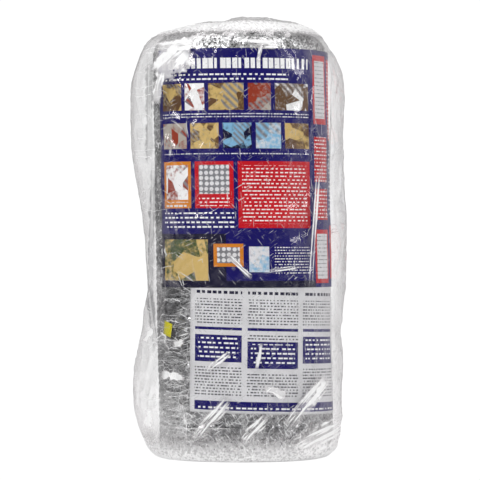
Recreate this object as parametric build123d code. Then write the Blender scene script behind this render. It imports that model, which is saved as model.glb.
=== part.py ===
# Upright roll of foil-faced bubble insulation in a loose clear film bag, with a printed wrap round it,
# an instruction leaflet and a small yellow tab. Millimetres, +Z up, front facing -Y.
from build123d import *
from math import ceil, cos, degrees, radians, sin, tan
import os

# Roll: one strip wound round a flat bore, so that every turn is an oval of four arcs
stock_width = 609.6      # width of the strip, which is the height of the standing roll
turn_pitch = 5.55        # thickness of one wound turn, with its bubbles a little pressed
turns = 17
bore_width = 62.0        # left to right
bore_depth = 24.0        # front to back
flat_angle = 20.0        # how far the flatter front and back arcs bend to each side of their middle
tail_angle = 120.0       # where the strip ends, on the back, turning from +X towards +Y
top_edge_radius = 36.0   # the bag presses the edges of the outer turns over at the top
bottom_edge_radius = 18.0
seam_width = 1.2         # open gap between two turns, where they aren't pressed together

# Papers that lie on the roll
paper_thickness = 0.4
paper_gap = 0.3          # clearance under each paper
wrap_start_angle = 202.0     # printed wrap: from the left shoulder over the front
wrap_end_angle = 415.0       # and round the right side to the back
wrap_top_margin = 27.0       # from the roll's top down to the wrap
leaflet_start_angle = 239.0
leaflet_end_angle = 358.0
leaflet_bottom_margin = 67.0     # from the roll's bottom up to the leaflet
leaflet_height = 178.5   # as far as it shows below the wrap
leaflet_tuck = 14.0      # how far it goes on up under the wrap
tab_angle = 213.0
tab_height = 186.0       # middle of the tab above the roll's bottom
tab_width = 17.0
tab_length = 20.0
tab_lean_angle = 14.0

# Bag of clear film, closed all round
film = 0.6
headroom = 21.0          # between the roll's top and the top of the bag
facet_angle = 10.0       # the film bends in flat facets, this many degrees apart
# How far the bag stands out from the roll: share of the bag's height, then left, right, front and back
bag_levels = [
    (0.0, -9.0, -10.0, -9.0, -6.0),
    (0.016, 8.0, 8.0, 8.0, 9.0),
    (0.05, 20.0, 16.0, 8.0, 8.0),
    (0.11, 29.5, 18.0, 9.0, 9.0),
    (0.2, 28.0, 20.0, 9.0, 9.0),
    (0.29, 18.0, 17.0, 9.0, 9.0),
    (0.38, 10.5, 23.0, 9.0, 9.0),
    (0.52, 17.5, 25.0, 9.0, 9.0),
    (0.66, 30.0, 22.5, 9.0, 9.0),
    (0.8, 35.0, 21.0, 9.0, 9.0),
    (0.88, 31.0, 17.0, 9.0, 9.0),
    (0.925, 21.0, 7.0, 6.0, 6.0),
    (0.955, 4.0, 0.0, 1.0, 1.0),
    (0.98, -20.0, -20.0, -18.0, -18.0),
    (1.0, -60.0, -52.0, -50.0, -50.0),
]


def normal(angle):
    """Unit vector pointing out of the roll at an angle from +X."""
    return Vector(cos(radians(angle)), sin(radians(angle)))


def oval_radii(half_width, half_depth):
    """Radii of the side arcs and of the flatter front and back arcs of an oval."""
    slope = tan(radians(flat_angle / 2))
    side = (half_depth - slope * half_width) / (1 - slope)
    flat = side + (half_width - side) / sin(radians(flat_angle))
    return side, flat


def wound_arcs():
    """Arcs of the strip's outer face from its tail inwards, as centre, radius, lower and upper angle."""
    side, flat = oval_radii((roll_width + turn_pitch) / 2, (roll_depth + turn_pitch / 2) / 2)
    start_y = (roll_depth + turn_pitch / 2) / 2 - flat
    centre = Vector(-turn_pitch / 4, start_y - turn_pitch / 4)
    joints = [90 - flat_angle, flat_angle - 90, -90 - flat_angle, flat_angle - 270]
    arcs = []
    radius, upper = flat, tail_angle
    for step in range(4 * (turns + 1) + 1):
        lower = max(joints[step % 4] - 360 * (step // 4), tail_angle - 360 * (turns + 1))
        arcs.append((centre, radius, lower, upper))
        next_radius = [flat, side][(step + 1) % 2] - (step + 1) * turn_pitch / 4
        centre = centre + normal(lower) * (radius - next_radius)
        radius, upper = next_radius, lower
    return arcs


def between(arcs, low, high):
    """The stretch of arcs between two angles, measured along the winding from the tail."""
    kept = []
    for centre, radius, lower, upper in arcs:
        if upper > low + 1e-6 and lower < high - 1e-6:
            kept.append((centre, radius, max(lower, low), min(upper, high)))
    return kept


def edges_of(arcs, offset=0.0):
    return [CenterArc(c, r + offset, low, high - low) for c, r, low, high in arcs]


def point_on(arc, angle, offset=0.0):
    centre, radius, lower, upper = arc
    return centre + normal(angle) * (radius + offset)


def band_face(arcs, inner, outer):
    """Face between two offsets of the same chain of arcs, closed by a straight line at each end."""
    first, last = arcs[0], arcs[-1]
    edges = edges_of(arcs, outer) + edges_of(arcs, inner)
    edges.append(Line(point_on(first, first[3], inner), point_on(first, first[3], outer)))
    edges.append(Line(point_on(last, last[2], inner), point_on(last, last[2], outer)))
    return Face(Wire(edges))


def ring_face(arcs):
    """Face inside one whole turn of the strip, closed by the step at the turn's end."""
    step = Line(point_on(arcs[0], arcs[0][3]), point_on(arcs[-1], arcs[-1][2]))
    return Face(Wire(edges_of(arcs) + [step]))


def rounded_wedge(arc):
    """One arc of the roll's outside, turned about its own centre with the pressed-in edges."""
    centre, radius, lower, upper = arc
    side_low, side_high = roll_bottom + bottom_edge_radius, roll_top - top_edge_radius
    profile = Wire([
        Line((0, roll_bottom), (radius - bottom_edge_radius, roll_bottom)),
        CenterArc((radius - bottom_edge_radius, side_low), bottom_edge_radius, -90, 90),
        Line((radius, side_low), (radius, side_high)),
        CenterArc((radius - top_edge_radius, side_high), top_edge_radius, 0, 90),
        Line((radius - top_edge_radius, roll_top), (0, roll_top)),
        Line((0, roll_top), (0, roll_bottom)),
    ])
    upright = Plane(origin=(centre.X, centre.Y, 0), x_dir=normal(lower), z_dir=normal(lower - 90))
    axis = Axis((centre.X, centre.Y, 0), (0, 0, 1))
    return revolve(upright * Face(profile), axis, upper - lower)


def make_roll(arcs):
    """The outermost turn gives the outside, then the bore and the gap between the inner turns are cut."""
    first_turn = between(arcs, tail_angle - 360, tail_angle)
    body = rounded_wedge(first_turn[0])
    for arc in first_turn[1:]:
        body += rounded_wedge(arc)
    bore_from = tail_angle - 360 * turns
    bore = ring_face(between(arcs, bore_from - 360, bore_from))
    body -= Pos(0, 0, roll_bottom) * extrude(bore, stock_width)
    pressed_turns = ceil(top_edge_radius / turn_pitch)
    gap_arcs = between(arcs, bore_from, tail_angle - 360 * pressed_turns)
    gap = extrude(band_face(gap_arcs, -seam_width / 2, seam_width / 2), stock_width)
    return body - Pos(0, 0, roll_bottom) * gap


def make_paper(arcs, start, end, low, high, gap):
    """A sheet that follows the outside of the roll from a start angle to an end angle."""
    span = between(arcs, start - 360, end - 360)
    return Pos(0, 0, low) * extrude(band_face(span, gap, gap + paper_thickness), high - low)


def make_tab(arcs):
    """Small leaning tab, cut out of a wider patch that follows the roll."""
    arc = between(arcs, tab_angle - 361, tab_angle - 359)[0]
    reach = degrees(tab_length / arc[1])
    middle = roll_bottom + tab_height
    patch = make_paper(arcs, tab_angle - reach, tab_angle + reach,
                       middle - tab_length, middle + tab_length, paper_gap)
    at = point_on(arc, tab_angle)
    facing = Plane(origin=(at.X, at.Y, middle), x_dir=normal(tab_angle + 90), z_dir=normal(tab_angle))
    return patch & facing * Rot(0, 0, tab_lean_angle) * Box(tab_width, tab_length, 2 * tab_length)


def bag_ring(height, left, right, front, back):
    """Corners of a faceted oval round the roll. The facets of all rings face the same ways."""
    half_width = (roll_width + left + right) / 2
    half_depth = (roll_depth + front + back) / 2
    side, flat = oval_radii(half_width, half_depth)
    to_side, to_flat = half_width - side, half_depth - flat
    arcs = [
        (Vector(to_side, 0), side, 0, 90 - flat_angle),
        (Vector(0, to_flat), flat, 90, flat_angle),
        (Vector(-to_side, 0), side, 180, 90 - flat_angle),
        (Vector(0, -to_flat), flat, 270, flat_angle),
    ]
    middle_of_ring = Vector((right - left) / 2, (back - front) / 2, height)
    points = []
    for centre, radius, middle, reach in arcs:
        steps = round(2 * reach / facet_angle)
        for i in range(steps):
            points.append(middle_of_ring + centre + normal(middle - reach + 2 * reach * i / steps) * radius)
    return points


def flat_face(points):
    return Face(Wire.make_polygon(points))


def bag_skin(inset):
    """The bag's outside, or its inside where inset is the film's thickness, in flat facets."""
    rings = []
    for share, *reaches in bag_levels:
        height = min(max(share * bag_height, inset), bag_height - inset)
        rings.append(bag_ring(height, *[reach - inset for reach in reaches]))
    faces = [flat_face(rings[0]), flat_face(rings[-1])]
    for low, high in zip(rings, rings[1:]):
        for i in range(len(low)):
            faces.append(flat_face([low[i - 1], low[i], high[i], high[i - 1]]))
    return Solid(Shell(faces))


roll_width = bore_width + 2 * turns * turn_pitch
roll_depth = bore_depth + 2 * turns * turn_pitch
roll_bottom = film
roll_top = roll_bottom + stock_width
bag_height = roll_top + headroom + film
leaflet_bottom = roll_bottom + leaflet_bottom_margin
wrap_bottom = leaflet_bottom + leaflet_height
wrap_top = roll_top - wrap_top_margin

arcs = wound_arcs()
pieces = {
    "insulation_roll": make_roll(arcs),
    "printed_wrap": make_paper(arcs, wrap_start_angle, wrap_end_angle, wrap_bottom, wrap_top,
                               2 * paper_gap + paper_thickness),
    "instruction_leaflet": make_paper(arcs, leaflet_start_angle, leaflet_end_angle, leaflet_bottom,
                                      wrap_bottom + leaflet_tuck, paper_gap),
    "yellow_tab": make_tab(arcs),
    "clear_bag": bag_skin(0) - bag_skin(film),
}

# The origin is on the floor under the middle of the bag
box = pieces["clear_bag"].bounding_box()
to_origin = Pos(-(box.min.X + box.max.X) / 2, -(box.min.Y + box.max.Y) / 2, -box.min.Z)

os.makedirs("parts", exist_ok=True)
for name, piece in pieces.items():
    export_step(to_origin * piece, f"parts/{name}.step")

whole_strip = between(arcs, tail_angle - 360 * turns, tail_angle)
length = sum(radians(upper - lower) * (radius - turn_pitch / 2) for _, radius, lower, upper in whole_strip)
print("length of the wound strip, m:", round(length / 1000, 2))
print("size over all, mm:", [round(side, 1) for side in box.size])
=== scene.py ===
from math import ceil, cos, pi, radians, sin, tan

import bpy
import numpy as np
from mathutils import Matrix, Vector, noise


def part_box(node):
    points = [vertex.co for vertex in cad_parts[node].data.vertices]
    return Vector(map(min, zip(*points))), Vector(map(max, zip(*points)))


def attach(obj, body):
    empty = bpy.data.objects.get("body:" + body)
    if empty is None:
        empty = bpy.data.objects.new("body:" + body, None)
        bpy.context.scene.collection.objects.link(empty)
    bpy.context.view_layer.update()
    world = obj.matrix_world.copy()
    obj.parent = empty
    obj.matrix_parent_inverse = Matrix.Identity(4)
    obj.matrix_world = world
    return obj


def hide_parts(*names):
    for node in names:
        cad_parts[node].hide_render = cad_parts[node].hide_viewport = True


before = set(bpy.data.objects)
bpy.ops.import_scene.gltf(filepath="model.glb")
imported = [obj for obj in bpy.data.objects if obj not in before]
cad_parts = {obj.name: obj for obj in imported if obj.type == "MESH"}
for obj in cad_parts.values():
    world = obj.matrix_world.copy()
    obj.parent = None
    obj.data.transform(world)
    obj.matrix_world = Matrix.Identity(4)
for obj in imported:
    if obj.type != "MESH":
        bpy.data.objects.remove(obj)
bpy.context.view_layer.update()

rollLow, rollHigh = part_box("insulation_roll")
wrapLow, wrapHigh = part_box("printed_wrap")
leafLow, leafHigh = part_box("instruction_leaflet")
tabLow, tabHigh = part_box("yellow_tab")
mm = 0.001
print("frame loaded")


# The roll's oval: four arcs, flatter at front and back

oval = {
    "halfWidth": (rollHigh[0] - rollLow[0]) / 2,
    "halfDepth": (rollHigh[1] - rollLow[1]) / 2,
    "flatAngle": radians(20),  # how far the front and back arcs bend to each side of their middle
    "middleX": (rollHigh[0] + rollLow[0]) / 2,
    "middleY": (rollHigh[1] + rollLow[1]) / 2,
    "lean": 0.017,  # the top stands this far to the left for each metre of height
}
halfWidth, halfDepth, flatAngle = oval["halfWidth"], oval["halfDepth"], oval["flatAngle"]
slope = tan(flatAngle / 2)
sideRadius = (halfDepth - slope * halfWidth) / (1 - slope)
flatRadius = sideRadius + (halfWidth - sideRadius) / sin(flatAngle)
flatRun = flatRadius * flatAngle
sideRun = sideRadius * (pi - 2 * flatAngle)
girth = 4 * flatRun + 2 * sideRun
rollBottom, rollTop = rollLow[2], rollHigh[2]
rollMiddle = (rollBottom + rollTop) / 2


def runOfFacing(facing):
    # distance round the oval from the front's middle to where the surface faces a given way
    sign, facing = (1, facing) if facing >= 0 else (-1, -facing)
    onFront = min(facing, flatAngle) * flatRadius
    onSide = max(min(facing, pi - flatAngle) - flatAngle, 0) * sideRadius
    onBack = max(min(facing, pi + flatAngle) - pi + flatAngle, 0) * flatRadius
    onFarSide = max(facing - pi - flatAngle, 0) * sideRadius
    return sign * (onFront + onSide + onBack + onFarSide)


def facingAlong(run):
    # the way the surface faces at a run from the front's middle, positive towards +X
    run = np.mod(np.asarray(run, float) + girth / 2, girth) - girth / 2
    sign, run = np.sign(run), np.abs(run)
    onFront = run / flatRadius
    onSide = flatAngle + (run - flatRun) / sideRadius
    onBack = pi - flatAngle + (run - flatRun - sideRun) / flatRadius
    return sign * np.select([run < flatRun, run < flatRun + sideRun], [onFront, onSide], onBack)


def ovalPoint(facing, offset=0.0):
    # point and outward direction of the oval, by the way it faces
    facing = np.mod(np.asarray(facing, float) + pi, 2 * pi) - pi
    nx, ny = np.sin(facing), -np.cos(facing)
    isFront = np.abs(facing) < flatAngle
    isBack = np.abs(facing) > pi - flatAngle
    radius = np.where(isFront | isBack, flatRadius, sideRadius) + offset
    cx = np.where(isFront | isBack, 0.0, np.sign(facing) * (halfWidth - sideRadius))
    toCentre = flatRadius - halfDepth
    cy = np.select([isFront, isBack], [toCentre, -toCentre], 0.0)
    return cx + radius * nx, cy + radius * ny, nx, ny


def placed(x, y, z):
    return np.stack([oval["middleX"] + x - oval["lean"] * (z - rollMiddle), oval["middleY"] + y, z], -1)


def fuzz(points, size, seed):
    # smooth noise, about -1 to 1, with features of the given size in metres
    seedStep = (7.31, 3.17, 5.03)
    shift = Vector([seed * step for step in seedStep])
    return np.array([noise.noise(Vector(p) / size + shift) for p in points])


def ease(low, high, value):
    share = np.clip((value - low) / (high - low), 0, 1)
    return share * share * (3 - 2 * share)


# Meshes

def added(name, data):
    # a new object in the scene
    made = bpy.data.objects.new(name, data)
    bpy.context.scene.collection.objects.link(made)
    return made


def meshObject(name, points, faces):
    mesh = bpy.data.meshes.new(name)
    mesh.from_pydata([tuple(p) for p in points], [], faces)
    mesh.polygons.foreach_set("use_smooth", [True] * len(mesh.polygons))
    mesh.update()
    return added(name, mesh)


def ringFaces(columns, rows, closedRows):
    # quads of a grid whose columns close on themselves
    faces = []
    for row in range(rows if closedRows else rows - 1):
        base, above = row * columns, (row + 1) % rows * columns
        for column in range(columns):
            beside = (column + 1) % columns
            faces.append((base + column, base + beside, above + beside, above + column))
    return faces


def addAttribute(piece, name, kind, values):
    layer = piece.data.attributes.new(name, kind, "POINT")
    field = "vector" if kind == "FLOAT_VECTOR" else "value"
    layer.data.foreach_set(field, np.asarray(values, float).ravel())


def applied(piece):
    # the evaluated mesh takes the place of the modifiers
    depsgraph = bpy.context.evaluated_depsgraph_get()
    mesh = bpy.data.meshes.new_from_object(piece.evaluated_get(depsgraph), depsgraph=depsgraph)
    piece.modifiers.clear()
    piece.data = mesh
    mesh.name = piece.name


# Nodes

def give(socket, value):
    if isinstance(value, bpy.types.NodeSocket):
        socket.id_data.links.new(value, socket)
    else:
        socket.default_value = value


def feed(sockets, values):
    for key, value in values.items():
        give(sockets[key], value)


def node(tree, kind, inputs=None, **settings):
    made = tree.nodes.new(kind)
    for key, value in settings.items():
        setattr(made, key, value)
    feed(made.inputs, inputs or {})
    return made


def calc(tree, operation, *values):
    made = tree.nodes.new("ShaderNodeMath")
    made.operation = operation
    for place, value in enumerate(values):
        give(made.inputs[place], value)
    return made.outputs[0]


def chained(tree, operation, values):
    result = values[0]
    for value in values[1:]:
        result = calc(tree, operation, result, value)
    return result


def product(tree, *values):
    return chained(tree, "MULTIPLY", values)


def total(tree, *values):
    return chained(tree, "ADD", values)


def largest(tree, *values):
    return chained(tree, "MAXIMUM", values)


def minus(tree, first, second):
    return calc(tree, "SUBTRACT", first, second)


def over(tree, first, second):
    return calc(tree, "DIVIDE", first, second)


def apart(tree, vector):
    return node(tree, "ShaderNodeSeparateXYZ", {"Vector": vector}).outputs


def joined(tree, x, y, z=0.0):
    return node(tree, "ShaderNodeCombineXYZ", {"X": x, "Y": y, "Z": z}).outputs[0]


def scaled(tree, vector, amount):
    return node(tree, "ShaderNodeVectorMath", {0: vector, "Scale": amount}, operation="SCALE").outputs[0]


def clouds(tree, vector, scale, detail=2.0):
    given = {"Vector": vector, "Scale": scale, "Detail": detail}
    return node(tree, "ShaderNodeTexNoise", given).outputs["Fac"]


def ramp(tree, value, low, high, toLow=0.0, toHigh=1.0):
    span = {"Value": value, "From Min": low, "From Max": high, "To Min": toLow, "To Max": toHigh}
    return node(tree, "ShaderNodeMapRange", span, interpolation_type="SMOOTHSTEP").outputs["Result"]


def band(tree, value, start, full, fade, end):
    # rises from start to full and falls again from fade to end
    return product(tree, ramp(tree, value, start, full), ramp(tree, value, fade, end, 1.0, 0.0))


def blend(tree, factor, first, second):
    made = node(tree, "ShaderNodeMix", data_type="RGBA")
    give(made.inputs["Factor"], factor)
    for key, value in (("A", first), ("B", second)):
        socket = next(one for one in made.inputs if one.name == key and one.type == "RGBA")
        give(socket, value if isinstance(value, bpy.types.NodeSocket) else (*value, 1))
    return next(one for one in made.outputs if one.type == "RGBA")


def addBump(tree, shader, height, strength, distance):
    bump = node(tree, "ShaderNodeBump", {"Height": height, "Strength": strength, "Distance": distance})
    give(shader.inputs["Normal"], bump.outputs["Normal"])


def shaderGroup(name, inputs, outputs):
    # inputs are floats with their usual values, after a vector
    tree = bpy.data.node_groups.new(name, "ShaderNodeTree")
    tree.interface.new_socket("Vector", in_out="INPUT", socket_type="NodeSocketVector")
    for socketName, value in inputs.items():
        socket = tree.interface.new_socket(socketName, in_out="INPUT", socket_type="NodeSocketFloat")
        socket.default_value = value
    for socketName in outputs:
        tree.interface.new_socket(socketName, in_out="OUTPUT", socket_type="NodeSocketFloat")
    return tree, tree.nodes.new("NodeGroupInput").outputs, tree.nodes.new("NodeGroupOutput").inputs


def placeGroup(tree, group, vector, inputs):
    made = tree.nodes.new("ShaderNodeGroup")
    made.node_tree = group
    feed(made.inputs, {"Vector": vector, **inputs})
    return made.outputs


def material(name):
    made = bpy.data.materials.new(name)
    made.use_nodes = True
    return made, made.node_tree, made.node_tree.nodes["Principled BSDF"]


# Effects that several materials share

def buildCrumple():
    # straight-edged creases as in pressed foil or film, and the height that goes with them
    pushShare, patchShare, facetShare = 0.25, 0.3, 0.7
    tree, given, out = shaderGroup("crumple", {"Scale": 60.0, "Width": 0.1}, ["Creases", "Height"])
    vector, scale = given["Vector"], given["Scale"]
    wobble = node(tree, "ShaderNodeTexNoise", {"Vector": vector, "Scale": scale, "Detail": 2.0}).outputs
    push = scaled(tree, wobble["Color"], over(tree, pushShare, scale))
    moved = node(tree, "ShaderNodeVectorMath", {0: vector, 1: push}, operation="ADD").outputs[0]
    toEdge, toMiddle = (node(tree, "ShaderNodeTexVoronoi", {"Vector": moved, "Scale": scale},
                             feature=feature).outputs["Distance"] for feature in ("DISTANCE_TO_EDGE", "F1"))
    patches = clouds(tree, vector, product(tree, scale, patchShare))
    edge = largest(tree, minus(tree, 1.0, over(tree, toEdge, given["Width"])), 0.0)
    feed(out, {"Creases": product(tree, edge, ramp(tree, patches, 0.42, 0.62)),
               "Height": total(tree, product(tree, toMiddle, facetShare), wobble["Fac"])})
    return tree


def buildScratches():
    # short straight strokes, all leaning one way
    depthShare, fadeBand = 0.8, 0.05
    usual = {"Lean": 0.0, "Length": 0.03, "Thickness": 0.0015, "Sparseness": 0.68}
    tree, given, out = shaderGroup("scratches", usual, ["Mask"])
    place = apart(tree, given["Vector"])
    across = total(tree, place["X"], product(tree, place["Y"], depthShare))
    turn = {"Vector": joined(tree, across, place["Z"]), "Angle": given["Lean"]}
    ends = apart(tree, node(tree, "ShaderNodeVectorRotate", turn, rotation_type="Z_AXIS").outputs[0])
    squeezed = joined(tree, over(tree, ends["X"], given["Length"]),
                      over(tree, ends["Y"], given["Thickness"]), given["Lean"])
    span = {"Value": clouds(tree, squeezed, 1.0, 1.0), "From Min": given["Sparseness"],
            "From Max": total(tree, given["Sparseness"], fadeBand)}
    give(out["Mask"], node(tree, "ShaderNodeMapRange", span).outputs["Result"])
    return tree


def buildPaintedStreaks():
    # a bundle of thin parallel lines inside a soft patch, on the front only, the mask for painted highlights
    # and painted shade on the film
    raggedScale, raggedShare, lineShare = 95.0, 2.4, 1.3
    usual = {"Middle X": 0.0, "Middle Z": 0.3, "Lean": 0.0, "Half Length": 0.04, "Half Width": 0.01,
             "Line Pitch": 0.004, "Solid": 0.0}
    tree, given, out = shaderGroup("paintedStreaks", usual, ["Mask"])
    place = apart(tree, given["Vector"])
    ragged = minus(tree, clouds(tree, given["Vector"], raggedScale, 1.0), 0.5)
    ragged = product(tree, ragged, product(tree, given["Half Width"], raggedShare), given["Solid"])
    x, z = minus(tree, place["X"], given["Middle X"]), minus(tree, place["Z"], given["Middle Z"])
    cosine, sine = calc(tree, "COSINE", given["Lean"]), calc(tree, "SINE", given["Lean"])
    along = total(tree, product(tree, x, cosine), product(tree, z, sine))
    across = minus(tree, product(tree, z, cosine), product(tree, x, sine))
    ways = ((along, given["Half Length"]), (total(tree, across, ragged), given["Half Width"]))
    window = [ramp(tree, over(tree, calc(tree, "ABSOLUTE", value), half), 0.5, 1.0, 1.0, 0.0)
              for value, half in ways]
    stretched = joined(tree, over(tree, along, product(tree, given["Half Length"], lineShare)),
                       over(tree, across, given["Line Pitch"]), given["Middle Z"])
    lined = largest(tree, ramp(tree, clouds(tree, stretched, 1.0, 1.0), 0.43, 0.56), given["Solid"])
    onFront = calc(tree, "LESS_THAN", place["Y"], 0.0)
    give(out["Mask"], product(tree, *window, lined, onFront))
    return tree


def buildGreeking():
    # plain dashes in lines, as lettering looks from too far off to read
    lineShift, leastGap = 9.0, 0.08
    usual = {"Line Pitch": 0.004, "Word Length": 0.012, "Fill": 0.5, "Gaps": 0.25}
    tree, given, out = shaderGroup("greeking", usual, ["Mask"])
    place = apart(tree, given["Vector"])
    line = over(tree, place["Y"], given["Line Pitch"])
    lineNumber = calc(tree, "FLOOR", line)
    shift = node(tree, "ShaderNodeTexWhiteNoise", {"W": lineNumber}, noise_dimensions="1D").outputs["Value"]
    word = total(tree, over(tree, place["X"], given["Word Length"]), product(tree, shift, lineShift))
    cell = joined(tree, calc(tree, "FLOOR", word), lineNumber)
    chance = node(tree, "ShaderNodeTexWhiteNoise", {"Vector": cell}, noise_dimensions="2D").outputs["Value"]
    inLine = calc(tree, "LESS_THAN", calc(tree, "FRACT", line), given["Fill"])
    wordEnd = minus(tree, minus(tree, 1.0, product(tree, chance, given["Gaps"])), leastGap)
    inWord = calc(tree, "LESS_THAN", calc(tree, "FRACT", word), wordEnd)
    give(out["Mask"], product(tree, inLine, inWord))
    return tree


crumple, scratches, paintedStreaks, greeking = buildCrumple(), buildScratches(), buildPaintedStreaks(), buildGreeking()
print("shared effects built")


def crumpleAt(tree, place, scale, width):
    return placeGroup(tree, crumple, place, {"Scale": scale, "Width": width})


def strokesAt(tree, place, entries):
    # each entry: lean in radians, length and thickness in metres, sparseness
    names = ("Lean", "Length", "Thickness", "Sparseness")
    return largest(tree, *[placeGroup(tree, scratches, place, dict(zip(names, entry)))["Mask"]
                           for entry in entries])


# Foil roll: bubbles on the wall, wound turns on the ends

foil = {
    "bubblePitch": 11.0 * mm,
    "bubbleHeight": 1.0 * mm,
    "bubbleRadius": 0.47,  # as a share of the pitch
    "domePower": 2.6,
    "columnsPerBubble": 4,
    "rowsPerRepeat": 8,  # the lattice repeats every two rows of bubbles
    "turnPitch": 5.55 * mm,
    "tailFacing": radians(210),
    "topEdge": 34 * mm,
    "bottomEdge": 16 * mm,
    "dent": 1.1 * mm,
    "dentSizes": (0.07, 0.022),
    "smallDent": 0.35,  # as a share of the large dents' depth
    "dentStretch": 0.6,
    "rowsPerTurn": 3,
    "boreHalfDepth": 12 * mm,
    "groove": 3.2 * mm,
}
# a ramp here is where it starts and ends, and its values there
foilLook = {
    "largeCreases": (70.0, 0.04),  # scale and width
    "smallCreases": (190.0, 0.08),
    "strokes": [(0.9, 0.014, 0.0013, 0.62), (-0.7, 0.012, 0.0012, 0.64)],
    "grainScale": 330.0,
    "patchScale": 26.0,
    "patchShare": 0.6,
    "largeRelief": 1.5,
    "smallRelief": 0.45,
    "bump": (0.85, 0.0018),  # strength and distance
    "dull": (0.16, 0.16, 0.167),
    "clear": (0.39, 0.39, 0.397),
    "toneRamp": (0.35, 0.65),
    "speckDark": (0.12, 0.12, 0.125),
    "speckBright": (0.97, 0.97, 0.97),
    "speckRamp": (0.44, 0.53),
    "crease": (0.95, 0.95, 0.96),
    "metallic": (0.0, 1.0, 1.0, 0.35),
    "roughness": (0.3, 0.7, 0.22, 0.4),
    # pressed foil: by height at the foot, in a patch at the left and at the rim
    "foot": (0.008, 0.032, 0.9, 0.0),
    "leftPatch": (0.07, 0.135, 1.0, 0.0),
    "leftEdge": (-0.085, -0.055, 0.42, 0.0),
    "rim": (0.575, 0.592, 0.603, 0.609),
    "pressedShare": 0.85,
    # painted light at the left, and painted shade on the rim in its middle and at the right
    "side": (-0.09, 0.02, 0.2, 0.07),
    "paintedShadeMiddle": (-0.07, -0.05, -0.01, 0.008),
    "paintedShadeRight": (0.06, 0.08),
    "paintedShadeShare": 0.2,
}


def foilMaterial():
    made, tree, shader = material("crinkledFoil")
    look = foilLook
    place = node(tree, "ShaderNodeTexCoord").outputs["Object"]
    x, _, z = apart(tree, place)
    atRim = band(tree, z, *look["rim"])
    atLeft = product(tree, ramp(tree, z, *look["leftPatch"]), ramp(tree, x, *look["leftEdge"]))
    pressed = largest(tree, ramp(tree, z, *look["foot"]), atRim, atLeft)
    large = crumpleAt(tree, place, *look["largeCreases"])
    small = crumpleAt(tree, place, *look["smallCreases"])
    lines = largest(tree, strokesAt(tree, place, look["strokes"]), large["Creases"],
                    product(tree, small["Creases"], pressed))
    grain = clouds(tree, place, look["grainScale"])
    broad = clouds(tree, place, look["patchScale"], 3.0)
    relief = total(tree, product(tree, large["Height"], look["largeRelief"]),
                   product(tree, small["Height"], look["smallRelief"]))
    addBump(tree, shader, relief, *look["bump"])
    # painted shade on the rim's middle and right, and painted light towards the left, shift the pressed
    # foil's speckle
    dark = largest(tree, band(tree, x, *look["paintedShadeMiddle"]), ramp(tree, x, *look["paintedShadeRight"]))
    side = minus(tree, ramp(tree, x, *look["side"]), product(tree, dark, atRim, look["paintedShadeShare"]))
    speckle = total(tree, grain, side, product(tree, minus(tree, broad, 0.5), look["patchShare"]))
    bright = blend(tree, ramp(tree, speckle, *look["speckRamp"]), look["speckDark"], look["speckBright"])
    tone = blend(tree, ramp(tree, broad, *look["toneRamp"]), look["dull"], look["clear"])
    tone = blend(tree, product(tree, pressed, look["pressedShare"]), tone, bright)
    feed(shader.inputs, {"Base Color": blend(tree, lines, tone, look["crease"]),
                         "Metallic": ramp(tree, lines, *look["metallic"]),
                         "Roughness": ramp(tree, grain, *look["roughness"])})
    return made


def bubbleTree(coat):
    # raises round bubbles on a hexagonal lattice that is laid out by the flat attribute
    tree = bpy.data.node_groups.new("bubbleRelief", "GeometryNodeTree")
    for name, way, kind in (("Geometry", "INPUT", "Geometry"), ("Bubble Pitch", "INPUT", "Float"),
                            ("Bubble Height", "INPUT", "Float"), ("Geometry", "OUTPUT", "Geometry")):
        tree.interface.new_socket(name, in_out=way, socket_type="NodeSocket" + kind)
    start = tree.nodes.new("NodeGroupInput").outputs
    pitch, height = start["Bubble Pitch"], start["Bubble Height"]
    flat, outward, weight = (
        node(tree, "GeometryNodeInputNamedAttribute", {"Name": name}, data_type=kind).outputs["Attribute"]
        for name, kind in (("flat", "FLOAT_VECTOR"), ("outward", "FLOAT_VECTOR"), ("bubbled", "FLOAT")))
    x, y, _ = apart(tree, flat)
    rowPitch = product(tree, pitch, 3 ** 0.5)
    distances = []
    for shift in (0.0, 0.5):
        squares = []
        for value, step in ((x, pitch), (y, rowPitch)):
            place = total(tree, over(tree, value, step), shift)
            off = product(tree, minus(tree, place, calc(tree, "ROUND", place)), step)
            squares.append(product(tree, off, off))
        distances.append(calc(tree, "SQRT", total(tree, *squares)))
    nearest = calc(tree, "MINIMUM", *distances)
    share = over(tree, nearest, product(tree, pitch, foil["bubbleRadius"]))
    dome = minus(tree, 1.0, calc(tree, "POWER", calc(tree, "MINIMUM", share, 1.0), foil["domePower"]))
    push = scaled(tree, outward, product(tree, dome, height, weight))
    moved = node(tree, "GeometryNodeSetPosition", {"Geometry": start["Geometry"], "Offset": push})
    whole = node(tree, "GeometryNodeRealizeInstances", {"Geometry": moved.outputs["Geometry"]})
    coated = node(tree, "GeometryNodeSetMaterial", {"Geometry": whole.outputs["Geometry"], "Material": coat})
    give(tree.nodes.new("NodeGroupOutput").inputs["Geometry"], coated.outputs["Geometry"])
    return tree


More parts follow.
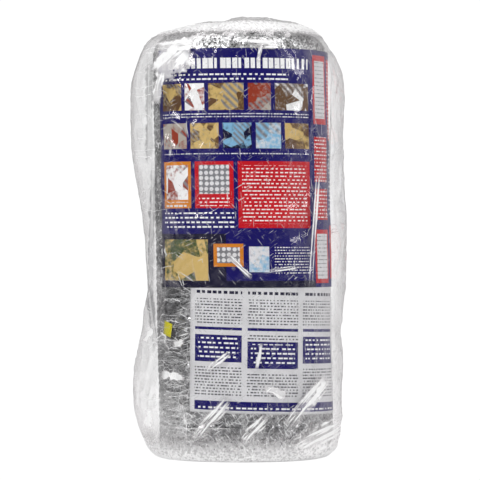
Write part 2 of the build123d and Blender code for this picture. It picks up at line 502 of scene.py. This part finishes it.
def rollRows():
    # from the bore's foot out, up the wall and back in: inset, height, run, bubble weight, tilt
    rowStep = foil["bubblePitch"] * 3 ** 0.5 / foil["rowsPerRepeat"]
    top, bottom = foil["topEdge"], foil["bottomEdge"]
    deepest = halfDepth - foil["boreHalfDepth"]
    rows = []
    inner = ceil((deepest - bottom) / foil["turnPitch"] * foil["rowsPerTurn"])
    for i in range(inner):
        rows.append((deepest + (bottom - deepest) * i / inner, rollBottom, 0.0, 0.0, -1.0))
    lowTurn, highTurn = pi / 2 * bottom, pi / 2 * top
    wall = rollTop - rollBottom - bottom - top
    for i in range(ceil((lowTurn + wall + highTurn) / rowStep) + 1):
        run = i * rowStep
        if run < lowTurn:
            bend = run / bottom
            inset, z, tilt = bottom * (1 - sin(bend)), rollBottom + bottom * (1 - cos(bend)), bend - pi / 2
        elif run < lowTurn + wall:
            inset, z, tilt = 0.0, rollBottom + bottom + run - lowTurn, 0.0
        else:
            tilt = min((run - lowTurn - wall) / top, pi / 2)
            inset, z = top * (1 - cos(tilt)), rollTop - top * (1 - sin(tilt))
        rows.append((inset, z, run, max(ease(0.0, 0.5, cos(tilt)), 0.001), tilt))
    inner = ceil((deepest - top) / foil["turnPitch"] * foil["rowsPerTurn"])
    for i in range(1, inner + 1):
        rows.append((top + (deepest - top) * i / inner, rollTop, 0.0, 0.0, 1.0))
    return rows


tailRun = runOfFacing(foil["tailFacing"])


def windAt(run):
    # how far the outer turn stands out from the mean oval: most at its tail
    return foil["turnPitch"] * (0.5 - (tailRun - run) / girth)


def dentAt(points):
    large, small = foil["dentSizes"]
    dents = fuzz(points * [1, 1, foil["dentStretch"]], large, 1)
    return (dents + fuzz(points, small, 2) * foil["smallDent"]) * foil["dent"]


def makeRoll():
    columns = int(girth / (foil["bubblePitch"] / foil["columnsPerBubble"])) + 1
    share = np.linspace(0, 1, columns)[::-1]
    facing = facingAlong(tailRun - share * girth)
    wind = windAt(tailRun - share * girth)
    rows = rollRows()
    points, flats, outs, weights = [], [], [], []
    for inset, z, run, weight, tilt in rows:
        onEnd = weight == 0.0
        x, y, nx, ny = ovalPoint(facing, wind - inset)
        height = np.full(columns, z)
        if onEnd:
            groove = 0.5 - 0.5 * np.cos(2 * pi * inset / foil["turnPitch"] + 2 * pi * share)
            height -= tilt * foil["groove"] * groove ** 2
        points.append(placed(x, y, height))
        flats.append(np.stack([share * girth, np.full(columns, run), np.zeros(columns)], -1))
        up, level = (tilt, 0.0) if onEnd else (sin(tilt), cos(tilt))
        outs.append(np.stack([nx * level, ny * level, np.full(columns, up)], -1))
        weights.append(np.full(columns, weight))
    points, outs, weights = np.concatenate(points), np.concatenate(outs), np.concatenate(weights)
    points = points + outs * (dentAt(points) * (weights > 0))[:, None]
    piece = meshObject("foilRoll", points, ringFaces(columns, len(rows), True))
    addAttribute(piece, "flat", "FLOAT_VECTOR", np.concatenate(flats))
    addAttribute(piece, "outward", "FLOAT_VECTOR", outs)
    addAttribute(piece, "bubbled", "FLOAT", weights)
    tree = bubbleTree(foilMaterial())
    modifier = piece.modifiers.new("bubbles", "NODES")
    modifier.node_group = tree
    sockets = {item.name: item.identifier for item in tree.interface.items_tree if item.in_out == "INPUT"}
    modifier[sockets["Bubble Pitch"]] = foil["bubblePitch"]
    modifier[sockets["Bubble Height"]] = foil["bubbleHeight"]
    applied(piece)
    for vertex in piece.data.vertices:
        vertex.co.z = max(vertex.co.z, rollBottom)
    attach(piece, "root")
    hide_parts("insulation_roll")
    print("foil roll", len(piece.data.polygons), "faces")


makeRoll()


# Papers: sheets that lie on the roll

papers = {
    "wrapFrom": radians(-62),
    "wrapTo": radians(145),
    "leafFrom": radians(-31),
    "leafTo": radians(88),
    "leafLean": radians(-1.6),
    "thickness": 0.3 * mm,
    "leafLift": 1.35 * mm,
    "wrapLift": 2.2 * mm,
    "gridStep": 5 * mm,
    "leastStep": 0.35 * mm,
    "ripple": 0.25 * mm,
    "rippleSizes": (0.05, 0.02),
    "smallRipple": 0.35,  # as a share of the large ripples' height
}
paint = {
    "navy": (0.005, 0.002, 0.13),
    "deepNavy": (0.004, 0.003, 0.03),
    "red": (0.6, 0.006, 0.016),
    "orange": (0.72, 0.24, 0.02),
    "white": (0.77, 0.765, 0.785),
    "bright": (0.95, 0.95, 0.95),
    "grey": (0.22, 0.22, 0.24),
    "dark": (0.05, 0.05, 0.065),
    "sepia": (0.13, 0.065, 0.028),
    "stone": (0.46, 0.42, 0.37),
    "ochre": (0.66, 0.47, 0.17),
    "brick": (0.33, 0.045, 0.02),
    "moss": (0.07, 0.1, 0.04),
    "sky": (0.25, 0.52, 0.75),
    "yellow": (0.76, 0.69, 0.01),
}
printLook = {
    "blotchScale": 22.0,
    "blotchRamp": (0.3, 0.75),
    "blotchShade": 0.88,
    "ringScale": 130.0,
    "ringDisorder": 0.15,
    "ringRamp": (0.36, 0.42, 1.0, 0.0),
    "patchScale": 62.0,
    "patchShare": 0.75,
    "slatScale": 70.0,
    "slatBend": 0.8,
    "slatRamp": (0.5, 0.6),
    "grainScale": 160.0,
    "grainShare": 0.9,
    "inkRamp": (0.55, 0.95),
    "roughness": 0.4,
    "specular": 0.2,
}
# ground and ink, pattern, line pitch in mm or scale, inked share of a line, word length in mm, gaps
inks = {
    "paperBack": ("white",),
    "navyGround": ("navy",),
    "deepNavyGround": ("deepNavy",),
    "redGround": ("red",),
    "orangeGround": ("orange",),
    "whiteGround": ("white",),
    "titleText": ("navy", "bright", "text", 22.05, 0.66, 8.5, 0.5),
    "navyText": ("navy", "bright", "text", 6.5, 0.36, 8.0, 0.6),
    "smallNavyText": ("navy", "bright", "text", 4.0, 0.34, 4.2, 0.7),
    "redText": ("red", "bright", "text", 5.2, 0.33, 7.0, 0.6),
    "orangeText": ("orange", "white", "text", 6.0, 0.45, 9.0, 0.5),
    "boxText": ("white", "grey", "text", 5.5, 0.26, 4.5, 0.7),
    "greyText": ("white", "dark", "text", 4.2, 0.42, 5.0, 0.65),
    "headText": ("white", "deepNavy", "text", 7.0, 0.6, 8.0, 0.5),
    "brickTile": ("brick", "stone", "collage"),
    "plankTile": ("sepia", "ochre", "collage", 0.8),
    "stoneTile": ("brick", "bright", "collage", 1.2),
    "paleTile": ("bright", "sepia", "collage", 1.1),
    "foilTile": ("grey", "white", "rings"),
    "hillTile": ("moss", "ochre", "collage", 1.7),
    "roofTile": ("sky", "deepNavy", "collage", 0.9),
    "skyTile": ("sky", "white", "collage", 1.4),
    "goldTile": ("ochre", "sepia", "collage", 1.2),
    "yellowGround": ("yellow",),
}


def printedMaterial(name, ground, ink=None, pattern=None, scale=1.0, fill=0.5, word=12.0, gaps=0.5):
    # gloss paper with a ground colour and one pattern over it, laid out by the sheet's UV in metres
    made, tree, shader = material(name)
    look = printLook
    flat = node(tree, "ShaderNodeUVMap", uv_map="flat").outputs["UV"]
    blotch = ramp(tree, clouds(tree, flat, look["blotchScale"], 3.0), *look["blotchRamp"])
    shaded = tuple(look["blotchShade"] * part for part in paint[ground])
    base = blend(tree, blotch, paint[ground], shaded)
    if pattern == "text":
        dashes = {"Line Pitch": scale * mm, "Word Length": word * mm, "Fill": fill, "Gaps": gaps}
        mask = placeGroup(tree, greeking, flat, dashes)["Mask"]
    elif pattern == "rings":
        rings = {"Vector": flat, "Scale": look["ringScale"] / scale, "Randomness": look["ringDisorder"]}
        rings = node(tree, "ShaderNodeTexVoronoi", rings).outputs["Distance"]
        mask = ramp(tree, rings, *look["ringRamp"])
    elif pattern == "collage":
        # angular patches, slats and grain, like a small picture seen from far off
        cells = node(tree, "ShaderNodeTexVoronoi", {"Vector": flat, "Scale": look["patchScale"] / scale})
        patch = node(tree, "ShaderNodeSeparateColor", {"Color": cells.outputs["Color"]}).outputs
        slats = {"Vector": flat, "Scale": look["slatScale"] / scale, "Distortion": look["slatBend"]}
        slats = node(tree, "ShaderNodeTexWave", slats, bands_direction="DIAGONAL").outputs["Fac"]
        slats = product(tree, ramp(tree, patch["Green"], *look["slatRamp"]), slats)
        base = blend(tree, slats, base, paint["grey"])
        grain = product(tree, clouds(tree, flat, look["grainScale"], 4.0), look["grainShare"])
        mask = total(tree, product(tree, patch["Red"], look["patchShare"]), grain)
        mask = ramp(tree, mask, *look["inkRamp"])
    if pattern:
        base = blend(tree, mask, base, paint[ink])
    feed(shader.inputs, {"Base Color": base, "Roughness": look["roughness"],
                         "Specular IOR Level": look["specular"]})
    return made


inkMaterials = {name: printedMaterial(name, *values) for name, values in inks.items()}


def thinned(values, last):
    # grid lines in order, without those too near the one before
    kept = []
    for value in sorted(values):
        if 0 <= value <= last + 1e-6 and (not kept or value - kept[-1] > papers["leastStep"]):
            kept.append(value)
    kept[-1] = last
    return np.array(kept)


def makeSheet(name, fromFacing, toFacing, low, high, lift, ground, blocks, seed, lean=0.0):
    # a thin closed sheet whose grid has a line at every printed edge
    left = runOfFacing(fromFacing)
    width, height = runOfFacing(toFacing) - left, high - low
    across = set(np.linspace(0, width, ceil(width / papers["gridStep"]) + 1))
    up = set(np.linspace(0, height, ceil(height / papers["gridStep"]) + 1))
    for x0, x1, y0, y1, ink in blocks:
        across |= {x0 * mm, x1 * mm}
        up |= {y0 * mm, y1 * mm}
    us, vs = thinned(across, width), thinned(up, height)
    uu, vv = (part.ravel() for part in np.meshgrid(us, vs))
    offU, offV = uu - width / 2, vv - height / 2
    runs = left + width / 2 + offU * cos(lean) - offV * sin(lean)
    facing, wind = facingAlong(runs), windAt(runs)
    upright = low + height / 2 + offU * sin(lean) + offV * cos(lean)
    flatPlace = np.stack([uu, vv, np.full(uu.size, seed)], -1)
    large, small = papers["rippleSizes"]
    ripple = fuzz(flatPlace, large, seed) + fuzz(flatPlace, small, seed + 3) * papers["smallRipple"]
    x, y = ovalPoint(facing, wind)[:2]
    ripple = ripple * papers["ripple"] + dentAt(placed(x, y, upright))
    layers = []
    for offset in (lift + papers["thickness"], lift):
        x, y = ovalPoint(facing, wind + offset + ripple)[:2]
        layers.append(placed(x, y, upright))
    columns, rows, count = len(us), len(vs), uu.size
    sheetInks = [ground] + sorted({block[4] for block in blocks} - {ground}) + ["paperBack"]
    back = len(sheetInks) - 1
    faces, inkIndex = [], []
    for row in range(rows - 1):
        for column in range(columns - 1):
            a = row * columns + column
            corners = (a, a + 1, a + columns + 1, a + columns)
            u, v = (us[column] + us[column + 1]) / 2 / mm, (vs[row] + vs[row + 1]) / 2 / mm
            ink = ground
            for x0, x1, y0, y1, blockInk in blocks:
                if x0 < u < x1 and y0 < v < y1:
                    ink = blockInk
            faces += [corners, tuple(count + corner for corner in reversed(corners))]
            inkIndex += [sheetInks.index(ink), back]
    edge = list(range(columns))
    edge += [row * columns + columns - 1 for row in range(1, rows)]
    edge += [(rows - 1) * columns + column for column in range(columns - 2, -1, -1)]
    edge += [row * columns for row in range(rows - 2, 0, -1)]
    for here, there in zip(edge, edge[1:] + edge[:1]):
        faces.append((there, here, count + here, count + there))
        inkIndex.append(back)
    piece = meshObject(name, np.concatenate(layers), faces)
    for ink in sheetInks:
        piece.data.materials.append(inkMaterials[ink])
    piece.data.polygons.foreach_set("material_index", inkIndex)
    layer = piece.data.uv_layers.new(name="flat")
    corners = np.concatenate([np.asarray(face) for face in faces]) % count
    layer.data.foreach_set("uv", np.stack([uu[corners], vv[corners]], -1).ravel())
    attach(piece, "root")
    print(name, len(piece.data.polygons), "faces")
    return piece, width


# left, right, bottom and top of each printed block in mm from the sheet's lower left corner
wrapBlocks = [
    (10, 238, 306, 326, "titleText"), (10, 205, 291, 303, "navyText"),
    (10, 48, 250, 288, "plankTile"), (54, 84, 250, 288, "stoneTile"), (90, 140, 250, 288, "goldTile"),
    (146, 178, 250, 288, "brickTile"), (184, 238, 250, 288, "paleTile"), (10, 238, 240, 246, "smallNavyText"),
    (10, 56, 196, 232, "brickTile"), (62, 104, 196, 232, "plankTile"), (110, 150, 196, 232, "roofTile"),
    (156, 192, 196, 232, "skyTile"), (198, 238, 196, 232, "goldTile"), (10, 238, 186, 192, "smallNavyText"),
    (10, 62, 112, 178, "orangeGround"), (15, 57, 124, 173, "stoneTile"), (15, 57, 114, 121, "orangeText"),
    (68, 124, 112, 178, "redGround"), (74, 118, 132, 173, "foilTile"), (74, 118, 115, 127, "redText"),
    (130, 238, 84, 178, "redGround"), (136, 232, 90, 172, "redText"),
    (10, 124, 84, 106, "navyText"),
    (0, 112, 0, 76, "deepNavyGround"), (8, 86, 10, 68, "hillTile"), (94, 136, 30, 62, "orangeGround"),
    (99, 131, 35, 57, "foilTile"), (144, 172, 22, 58, "skyTile"), (180, 238, 20, 60, "smallNavyText"),
    (112, 247, 0, 10, "deepNavyGround"),
    (248, 285, 232, 330, "redGround"), (252, 281, 240, 322, "boxText"), (248, 285, 150, 214, "redText"),
    (248, 285, 96, 140, "redText"), (248, 285, 6, 82, "redGround"), (252, 281, 12, 76, "boxText"),
    (293, 409, 210, 326, "redText"), (293, 409, 100, 196, "navyText"), (293, 409, 12, 88, "redGround"),
]
wrapPiece, wrapWidth = makeSheet("printedWrap", papers["wrapFrom"], papers["wrapTo"], wrapLow[2], wrapHigh[2],
                                 papers["wrapLift"], "navyGround", wrapBlocks, 5.0)
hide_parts("printed_wrap")

leafColumns = ((8, 76), (84, 158), (166, 240))
leafRows = ((166, 173, "headText"), (126, 161, "greyText"), (117, 121, "navyGround"))
leafBlocks = [(left, right, *row) for row in leafRows for left, right in leafColumns]
leafBlocks += [
    (8, 76, 72, 110, "navyGround"), (84, 158, 64, 102, "navyGround"), (166, 240, 72, 110, "navyGround"),
    (13, 71, 76, 107, "navyText"), (89, 153, 68, 99, "navyText"), (171, 235, 76, 107, "navyText"),
    (84, 158, 104, 112, "greyText"), (8, 76, 24, 66, "greyText"), (84, 158, 24, 58, "greyText"),
    (166, 240, 24, 66, "greyText"), (8, 250, 4, 17, "navyGround"), (14, 244, 6.5, 13, "navyText"),
]
leafPiece, leafWidth = makeSheet("instructionLeaflet", papers["leafFrom"], papers["leafTo"], leafLow[2],
                                 leafHigh[2], papers["leafLift"], "whiteGround", leafBlocks, 9.0,
                                 papers["leafLean"])
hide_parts("instruction_leaflet")

tab = {"facing": radians(-56), "width": 20 * mm, "length": 20 * mm, "lean": radians(-14)}
tabReach = tab["width"] / 2 / sideRadius
tabMiddle = (tabLow[2] + tabHigh[2]) / 2
tabPiece = makeSheet("yellowTab", tab["facing"] - tabReach, tab["facing"] + tabReach,
                     tabMiddle - tab["length"] / 2, tabMiddle + tab["length"] / 2, papers["leafLift"],
                     "yellowGround", [], 11.0, tab["lean"])[0]
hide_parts("yellow_tab")


# Clear bag: one closed skin of film

bag = {
    "frontColumns": 262,
    "backColumns": 138,
    "rows": 244,
    "stepsPerStation": 12,
    "leastScale": 0.004,  # the bag's ends close to this share of the roll's oval
    # waves of the film: height, size in metres, upward stretch, and sharpness where they are ridges
    "softBuckle": (3.0 * mm, 0.045, 0.35),
    "ridge": (1.8 * mm, 0.035, 0.6, 5),
    "ridgeLeast": 0.4,
    "smallRidge": (0.6 * mm, 0.016, 1, 6),
    "looseLeast": 0.2,  # share of the waves that is left where the film lies against the front
    "footEase": 0.012,  # the waves begin over this height
    # the crown dips over these ranges of x, and fades in over this height
    "leftDip": 5.5 * mm,
    "leftDipFrom": (0.012, -0.028),
    "leftDipTo": (-0.12, -0.08),
    "rightDip": 3.5 * mm,
    "rightDipFrom": (0.03, 0.075),
    "dipHeight": (0.585, 0.625),
    # height, then how far the film stands out from the roll at the left, right, front and back, all in mm
    "stations": [
        (0, -125, -125, -106, -106), (0, -60, -60, -50, -50), (0, -9, -10, -9, -8), (10, 7, 8, 5, 6),
        (24, 16, 14, 6, 8), (38, 22, 17, 6, 9), (67, 29, 18, 6, 9), (96, 29.5, 18, 6, 9), (125, 28, 20, 5, 9),
        (154, 22, 20, 5, 9), (183, 17.5, 16.5, 5, 9), (212, 14.5, 20, 5, 9), (241, 10.5, 23.5, 5, 9),
        (270, 12, 25, 5, 9), (313, 15, 25, 5, 9), (357, 20.5, 25, 5, 9), (400, 27, 23, 5, 9),
        (443, 33.5, 22, 5, 9), (516, 35, 20.5, 5, 9), (545, 33.5, 19, 5, 9), (566, 27.5, 13, 5, 8),
        (586, 19, 1, 4, 6), (602, 5, -8, 0, 0), (615, -14, -18, -12, -12), (625, -38, -32, -30, -30),
        (631, -70, -60, -56, -56), (631, -125, -125, -106, -106),
    ],
    # pressed folds on the front: from x, z to x, z, height and half width, in mm
    "folds": [
        (-26, 316, 4, 286, 2.2, 5), (4, 286, 29, 270, 2.2, 5), (29, 270, 58, 276, 2.2, 5),
        (-16, 88, -62, 33, 2.4, 6), (-28, 96, -70, 44, 2.0, 5), (41, 68, 2, 28, 2.2, 5),
        (54, 66, 18, 30, 1.8, 4), (128, 118, 70, 48, 2.6, 7), (112, 118, 62, 58, 2.0, 5),
        (-74, 70, -72, 32, 2.4, 4), (-108, 48, 4, 46, 2.0, 4), (-110, 420, -92, 520, 2.0, 6),
        (-118, 300, -104, 230, 2.0, 6), (96, 420, 110, 560, 1.8, 6), (-60, 596, -20, 560, 2.4, 8),
        (40, 600, 70, 560, 2.4, 8), (-100, 560, -60, 500, 2.0, 6),
    ],
}
filmLook = {
    "clearAlpha": 0.025,
    "edgeAlpha": 0.64,
    "edgePower": 1.45,
    "strokeAlpha": 0.45,
    "paintedHighlightAlpha": 0.85,
    "paintedShadeAlpha": 0.4,
    "gatherAlpha": 0.71,
    "foot": (0.0, 0.052, 1.0, 0.0),  # the film is bunched at the foot and at the crest
    "crest": (0.6, 0.616, 0.62, 0.627),
    "fleckScale": 300.0,
    "fleckRamp": (0.38, 0.56, 0.5, 1.0),
    "stretch": (1.0, 1.0, 0.55),
    "largeCreases": (30.0, 0.02),  # scale and width
    "smallCreases": (110.0, 0.1),
    "largeCreaseShare": 0.35,
    "reliefScale": 16.0,
    "gatherRelief": 0.3,
    "bump": (0.5, 0.006),  # strength and distance
    "plain": (0.8, 0.765, 0.78),
    "grey": (0.26, 0.255, 0.27),
    "white": (1.0, 1.0, 1.0),
    "metallic": (0.0, 0.6, 1.0, 0.0),
    "roughness": (0.0, 0.6, 0.13, 0.35),
    "strokes": [(0.9, 0.022, 0.0015, 0.7), (-0.6, 0.018, 0.0014, 0.705), (1.5, 0.03, 0.0016, 0.71)],
    # painted highlights along folds: middle x and z in mm, lean in degrees, half length, half width, line
    # pitch, solid share
    "paintedStreaks": [
        (-37, 62, 50, 42, 11, 4, 0.32), (23, 48, 47, 28, 11, 4, 0.3), (98, 84, 49, 52, 13, 5, 0.35),
        (112, 97, 58, 26, 5, 18, 1.0), (-84, 167, 10, 9, 5, 10, 0.8), (-92, 121, -8, 20, 6, 16, 0.9),
        (-95, 566, 46, 34, 26, 9, 0.6), (-113, 530, 80, 30, 8, 8, 0.6), (-88, 588, 8, 34, 12, 6, 0.55),
        (60, 272, 8, 30, 3, 4, 0.3), (36, 588, 4, 22, 8, 5, 0.3), (30, 574, 84, 14, 3, 4, 0.6),
        (-128, 60, 78, 17, 6, 16, 1.0), (-128, 178, 62, 14, 4, 9, 0.9), (-28, 142, 38, 24, 5, 3, 0.3),
        (2, 276, -42, 26, 4, 3, 0.5), (29, 150, 80, 22, 3, 9, 0.9), (52, 100, -24, 20, 7, 12, 0.7),
        (108, 330, 86, 90, 4, 3, 0.1), (116, 34, 24, 44, 22, 5, 0.42), (-52, 48.5, 0, 60, 0.8, 5, 0.6),
        (-73, 50, 89, 22, 0.8, 5, 0.6),
    ],
    # painted shade in grey streaks, in the same terms
    "paintedShadeStreaks": [
        (-126, 490, 90, 100, 7, 5, 0.55), (-123, 330, 88, 120, 6, 5, 0.55), (-123, 205, 98, 60, 7, 5, 0.5),
        (127, 400, 88, 120, 4, 3, 0.1),
    ],
}


# the largest of several painted streak masks
def paintedStreaksAt(tree, place, entries):
    masks = []
    for x, z, lean, length, width, pitch, solid in entries:
        masks.append(placeGroup(tree, paintedStreaks, place, {
            "Middle X": x * mm, "Middle Z": z * mm, "Lean": radians(lean), "Half Length": length * mm,
            "Half Width": width * mm, "Line Pitch": pitch * mm, "Solid": solid})["Mask"])
    return largest(tree, *masks)


def filmMaterial():
    made, tree, shader = material("clearFilm")
    look = filmLook
    place = node(tree, "ShaderNodeTexCoord").outputs["Object"]
    z = apart(tree, place)["Z"]
    bunched = largest(tree, ramp(tree, z, *look["foot"]), band(tree, z, *look["crest"]))
    flecks = ramp(tree, clouds(tree, place, look["fleckScale"]), *look["fleckRamp"])
    gathered = product(tree, bunched, flecks)
    long = node(tree, "ShaderNodeMapping", {"Vector": place, "Scale": look["stretch"]}).outputs["Vector"]
    large = crumpleAt(tree, long, *look["largeCreases"])
    small = crumpleAt(tree, long, *look["smallCreases"])
    strokes = largest(tree, strokesAt(tree, place, look["strokes"]),
                      product(tree, large["Creases"], look["largeCreaseShare"]),
                      product(tree, small["Creases"], gathered))
    # painted highlights in white and painted shade in grey, as streaks on the film's front
    white, grey = paintedStreaksAt(tree, place, look["paintedStreaks"]), paintedStreaksAt(tree, place, look["paintedShadeStreaks"])
    relief = product(tree, small["Height"], product(tree, gathered, look["gatherRelief"]))
    relief = total(tree, clouds(tree, long, look["reliefScale"]), relief)
    addBump(tree, shader, relief, *look["bump"])
    facing = node(tree, "ShaderNodeLayerWeight", {"Blend": 0.5}).outputs["Facing"]
    masks = {"edgeAlpha": calc(tree, "POWER", facing, look["edgePower"]), "gatherAlpha": gathered,
             "strokeAlpha": strokes, "paintedHighlightAlpha": white, "paintedShadeAlpha": grey}
    parts = [product(tree, mask, look[key]) for key, mask in masks.items()]
    alpha = total(tree, look["clearAlpha"], *parts)
    # the matt mask joins real scratches and bunched film with the painted highlights
    mattAndPaintedHighlight = largest(tree, strokes, white, gathered)
    # the film's tint turns grey under the painted shade
    tintWithPaintedShade = blend(tree, grey, look["plain"], look["grey"])
    feed(shader.inputs, {"Alpha": calc(tree, "MINIMUM", alpha, 1.0),
                         "Base Color": blend(tree, mattAndPaintedHighlight, tintWithPaintedShade, look["white"]),
                         "Metallic": ramp(tree, mattAndPaintedHighlight, *look["metallic"]),
                         "Roughness": ramp(tree, mattAndPaintedHighlight, *look["roughness"])})
    return made


def curveThrough(stations, count):
    # even steps along a smooth curve through the stations
    knots = np.array(stations, float) * mm
    padded = np.vstack([2 * knots[0] - knots[1], knots, 2 * knots[-1] - knots[-2]])
    fine = []
    for i in range(len(knots) - 1):
        a, b, c, d = padded[i:i + 4]
        for t in np.linspace(0, 1, bag["stepsPerStation"], endpoint=False):
            fine.append(0.5 * ((2 * b) + (c - a) * t + (2 * a - 5 * b + 4 * c - d) * t ** 2
                               + (3 * b - a - 3 * c + d) * t ** 3))
    fine = np.array(fine + [knots[-1]])
    steps = np.linalg.norm(np.diff(fine[:, [0, 1, 3]], axis=0), axis=1)
    length = np.concatenate([[0], np.cumsum(steps)])
    at = np.linspace(0, length[-1], count)
    return np.stack([np.interp(at, length, fine[:, k]) for k in range(5)], -1)


def gridNormals(points, columns, rows):
    grid = points.reshape(rows, columns, 3)
    across = np.roll(grid, -1, 1) - np.roll(grid, 1, 1)
    normals = np.cross(across, np.gradient(grid, axis=0))
    normals /= np.maximum(np.linalg.norm(normals, axis=2, keepdims=True), 1e-9)
    return normals.reshape(-1, 3)


def ridges(points, seed, height, size, stretch, sharpness):
    # thin lines where the noise passes through zero
    away = np.abs(fuzz(points * [1, 1, stretch], size, seed))
    return (1 - np.minimum(away * sharpness, 1)) * height


def foldWave(points):
    # how far the pressed folds raise the film
    wave = np.zeros(len(points))
    flat = points[:, [0, 2]]
    for x0, z0, x1, z1, height, reach in bag["folds"]:
        start, end = np.array([x0, z0]) * mm, np.array([x1, z1]) * mm
        way = end - start
        along = np.clip(((flat - start) @ way) / (way @ way), 0, 1)
        off = np.linalg.norm(flat - start - along[:, None] * way, axis=1)
        taper = np.sqrt(np.clip(4 * along * (1 - along), 0.05, 1))
        wave += height * mm * taper * np.maximum(1 - off / (reach * mm), 0) ** 1.5
    return wave


def makeBag():
    half = girth / 2
    runs = np.concatenate([np.linspace(-half / 2, half / 2, bag["frontColumns"], endpoint=False),
                           np.linspace(half / 2, 3 * half / 2, bag["backColumns"], endpoint=False)])
    columns, rows = len(runs), bag["rows"]
    baseX, baseY = ovalPoint(facingAlong(runs))[:2]
    points = []
    for z, left, right, front, back in curveThrough(bag["stations"], rows):
        scaleX = 1 + np.where(baseX > 0, right, left) / halfWidth
        scaleY = 1 + np.where(baseY > 0, back, front) / halfDepth
        x = oval["middleX"] + baseX * np.maximum(scaleX, bag["leastScale"])
        y = oval["middleY"] + baseY * np.maximum(scaleY, bag["leastScale"])
        points.append(np.stack([x, y, np.full(columns, z)], -1))
    points = np.concatenate(points)
    x = points[:, 0]
    low = bag["leftDip"] * ease(*bag["leftDipFrom"], x) * ease(*bag["leftDipTo"], x)
    low += bag["rightDip"] * ease(*bag["rightDipFrom"], x)
    points[:, 2] -= low * ease(*bag["dipHeight"], points[:, 2])
    normals = gridNormals(points, columns, rows)
    loose = ease(0.0, 0.5, np.abs(normals[:, 0])) * (1 - bag["looseLeast"]) + bag["looseLeast"]
    height, size, stretch = bag["softBuckle"]
    soft = fuzz(points * [1, 1, stretch], size, 20) * height * loose
    ridge = ridges(points, 21, *bag["ridge"]) * (bag["ridgeLeast"] + (1 - bag["ridgeLeast"]) * loose)
    wave = soft + ridge + ridges(points, 22, *bag["smallRidge"]) + foldWave(points) * (normals[:, 1] < 0)
    points = points + normals * (wave * ease(0.0, bag["footEase"], points[:, 2]))[:, None]
    points[:, 2] = np.maximum(points[:, 2], 0.0)
    faces = ringFaces(columns, rows, False)
    faces += [tuple(reversed(range(columns))), tuple(range((rows - 1) * columns, rows * columns))]
    piece = meshObject("clearBag", points, faces)
    piece.data.materials.append(filmMaterial())
    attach(piece, "root")
    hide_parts("clear_bag")
    print("bag", len(piece.data.polygons), "faces")


makeBag()


# Floor, lights and camera

studio = {
    "floorRadius": 8,
    "floorCorners": 48,
    "floorColour": (0.9, 0.9, 0.9, 1),
    "floorRoughness": 0.9,
    "floorGlow": 0.15,
    "white": 1.05,  # strength of the white that the camera sees behind the object
    # bright behind the object and dim in front of it: axis, range and strengths
    "surround": [("Y", -0.5, 0.7, 0.08, 0.6), ("Z", 0.55, 0.95, 0.0, 0.58), ("X", 0.45, 0.9, 0.0, 0.95)],
    "target": (0.0, 0.0, 0.32),
    # place, width, height and power
    "lights": {
        "keyLeft": ((-1.5, -1.9, 1.6), 0.45, 1.3, 32),
        "keyRight": ((1.7, -1.7, 1.4), 0.45, 1.3, 15),
        "overhead": ((0.0, -0.4, 2.4), 1.8, 0.9, 14),
    },
    "cameraDistance": 3.65,
    "cameraHeight": 0.3133,
    "cameraX": oval["middleX"] - 2.9 * mm,
    "frontDistance": 3.545,  # from the camera to the front of the roll, where a pixel is this wide
    "pixelAtFront": 1.405 * mm,
    "imagePixels": 480,
    "sensor": 36.0,
}


def whiteToCamera(tree, lit, white, output):
    # the camera sees white, all else the lit surface
    seen = node(tree, "ShaderNodeLightPath").outputs["Is Camera Ray"]
    mixed = node(tree, "ShaderNodeMixShader", {0: seen, 1: lit, 2: white})
    give(tree.nodes[output].inputs["Surface"], mixed.outputs["Shader"])


def makeFloor():
    radius, corners = studio["floorRadius"], studio["floorCorners"]
    turns = np.linspace(0, 2 * pi, corners, endpoint=False)
    around = [(radius * cos(turn), radius * sin(turn), 0.0) for turn in turns]
    piece = meshObject("floor", around, [tuple(range(corners))])
    made, tree, shader = material("paleFloor")
    feed(shader.inputs, {"Base Color": studio["floorColour"], "Roughness": studio["floorRoughness"],
                         "Emission Color": (1, 1, 1, 1), "Emission Strength": studio["floorGlow"]})
    white = node(tree, "ShaderNodeEmission", {"Strength": studio["white"]})
    whiteToCamera(tree, shader.outputs[0], white.outputs[0], "Material Output")
    piece.data.materials.append(made)


def makeSurround():
    world = bpy.data.worlds.new("studioWorld")
    bpy.context.scene.world = world
    world.use_nodes = True
    tree = world.node_tree
    way = apart(tree, node(tree, "ShaderNodeTexCoord").outputs["Generated"])
    lights = [ramp(tree, way[axis], *span) for axis, *span in studio["surround"]]
    lit = node(tree, "ShaderNodeBackground", {"Strength": largest(tree, *lights)})
    white = node(tree, "ShaderNodeBackground", {"Color": (1, 1, 1, 1), "Strength": studio["white"]})
    whiteToCamera(tree, lit.outputs[0], white.outputs[0], "World Output")


def makeSoftbox(name, place, width, height, power):
    light = bpy.data.lights.new(name, "AREA")
    light.shape = "RECTANGLE"
    light.size, light.size_y = width, height
    light.energy = power
    lamp = added(name, light)
    lamp.location = place
    lamp.rotation_euler = (Vector(studio["target"]) - Vector(place)).to_track_quat("-Z", "Y").to_euler()


makeFloor()
makeSurround()
for lightName, values in studio["lights"].items():
    makeSoftbox(lightName, *values)

lens = bpy.data.cameras.new("camera")
lens.sensor_width = studio["sensor"]
lens.lens = studio["sensor"] * (studio["frontDistance"] / studio["pixelAtFront"]) / studio["imagePixels"]
lens.clip_end = 30.0
camera = added("camera", lens)
camera.location = (studio["cameraX"], oval["middleY"] - studio["cameraDistance"], studio["cameraHeight"])
camera.rotation_euler = (pi / 2, 0, 0)
bpy.context.scene.camera = camera
bpy.context.scene.view_settings.view_transform = "Standard"
print("floor, lights and camera placed")
